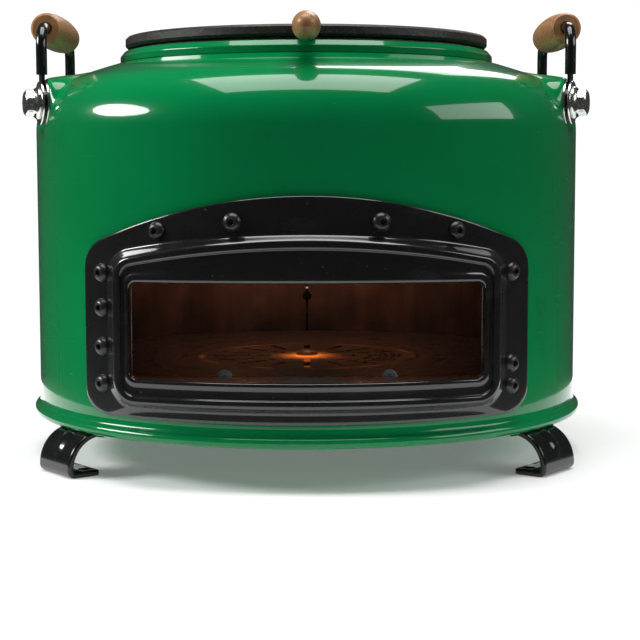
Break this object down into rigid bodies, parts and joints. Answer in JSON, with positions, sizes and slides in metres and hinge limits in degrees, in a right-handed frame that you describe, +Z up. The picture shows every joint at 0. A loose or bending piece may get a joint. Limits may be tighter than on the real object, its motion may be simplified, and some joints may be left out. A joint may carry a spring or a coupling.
{
  "type": "wood burning stove",
  "caption": "Small round wood stove: enamelled drum with a bolted black window frame, slotted hearth, hinged hotplate lid, rear flue with damper, ash drawer and bent strap feet.",
  "frame": {"origin": "on the floor, on the drum's axis, at the centre of the four foot fixing holes", "axes": "+Z up, the window faces -Y and the flue outlet points to +Y, +X is to the right of the window"},
  "size_m": [0.317, 0.3728, 0.249],
  "materials": {
    "green_enamel": "glossy vitreous enamel",
    "black_enamel": "satin black enamel",
    "black_gloss": "gloss black paint",
    "black_screws": "black oxide",
    "stove_glass": "clear glass ceramic with a light smoke film",
    "fibre_tape": "woven glass fibre",
    "plain_sheet": "plain sheet",
    "heated_steel": "steel sheet browned by fire",
    "cast_iron": "black cast iron",
    "turned_wood": "oiled turned beech",
    "flue_steel": "brushed stainless steel",
    "zinc": "bright zinc plate"
  },
  "bodies": {
    "stove": {"base_pan": "green_enamel", "body_shell": "green_enamel", "window_frame": "black_enamel", "window_glass": "stove_glass", "glass_gasket": "fibre_tape", "glass_retainer": "plain_sheet", "glass_clips": "plain_sheet", "frame_screws": "black_screws", "frame_nuts": "zinc", "liner": "heated_steel", "hearth_ring": "heated_steel", "hearth_posts": "plain_sheet", "hearth_plate": "cast_iron", "grate": "cast_iron", "grate_bolt": "heated_steel", "grate_nut": "zinc", "drawer_rails": "plain_sheet", "flue_spigot": "flue_steel", "flue_saddle": "flue_steel", "flue_screws": "black_screws", "flue_nuts": "zinc", "lid_collar": "green_enamel", "lid_seal": "fibre_tape", "hinge_bracket": "green_enamel", "hinge_pin": "zinc", "handle_rod_left": "black_gloss", "handle_rod_right": "black_gloss", "handle_washers": "zinc", "handle_bolts": "zinc", "handle_nuts": "zinc", "foot_front_left": "black_gloss", "foot_front_right": "black_gloss", "foot_rear_left": "black_gloss", "foot_rear_right": "black_gloss", "foot_bolts": "zinc", "foot_nuts": "zinc"},
    "lid": {"lid": "cast_iron", "lid_handle_rod": "zinc", "lid_grip": "turned_wood"},
    "ash_drawer": {"ash_tray": "plain_sheet", "drawer_front": "green_enamel", "drawer_knob": "turned_wood", "drawer_knob_screw": "zinc", "air_slide_screws": "black_screws"},
    "air_shutter": {"air_slide": "flue_steel"},
    "damper": {"damper_plate": "heated_steel", "damper_shaft": "zinc", "damper_rivets": "zinc", "damper_handle": "black_enamel"},
    "grip_left": {"handle_grip_left": "turned_wood"},
    "grip_right": {"handle_grip_right": "turned_wood"}
  },
  "joints": [
    {"name": "lid_hinge", "type": "hinge", "parent": "stove", "child": "lid", "pos_m": [0, 0.113, 0.2324], "axis": [-1, 0, 0], "range_deg": [0, 100]},
    {"name": "drawer_slide", "type": "slide", "parent": "stove", "child": "ash_drawer", "axis": [0, 1, 0], "range_m": [0, 0.15]},
    {"name": "air_slide_turn", "type": "hinge", "parent": "ash_drawer", "child": "air_shutter", "pos_m": [0, 0, 0.0384], "axis": [0, 0, 1], "range_deg": [0, 3.5]},
    {"name": "damper_turn", "type": "hinge", "parent": "stove", "child": "damper", "pos_m": [0, 0.173, 0.132], "axis": [1, 0, 0], "range_deg": [0, 90]},
    {"name": "grip_left_spin", "type": "hinge", "parent": "stove", "child": "grip_left", "pos_m": [-0.14471, 0, 0.239], "axis": [0, 1, 0], "continuous": true},
    {"name": "grip_right_spin", "type": "hinge", "parent": "stove", "child": "grip_right", "pos_m": [0.14471, 0, 0.239], "axis": [0, 1, 0], "continuous": true}
  ]
}
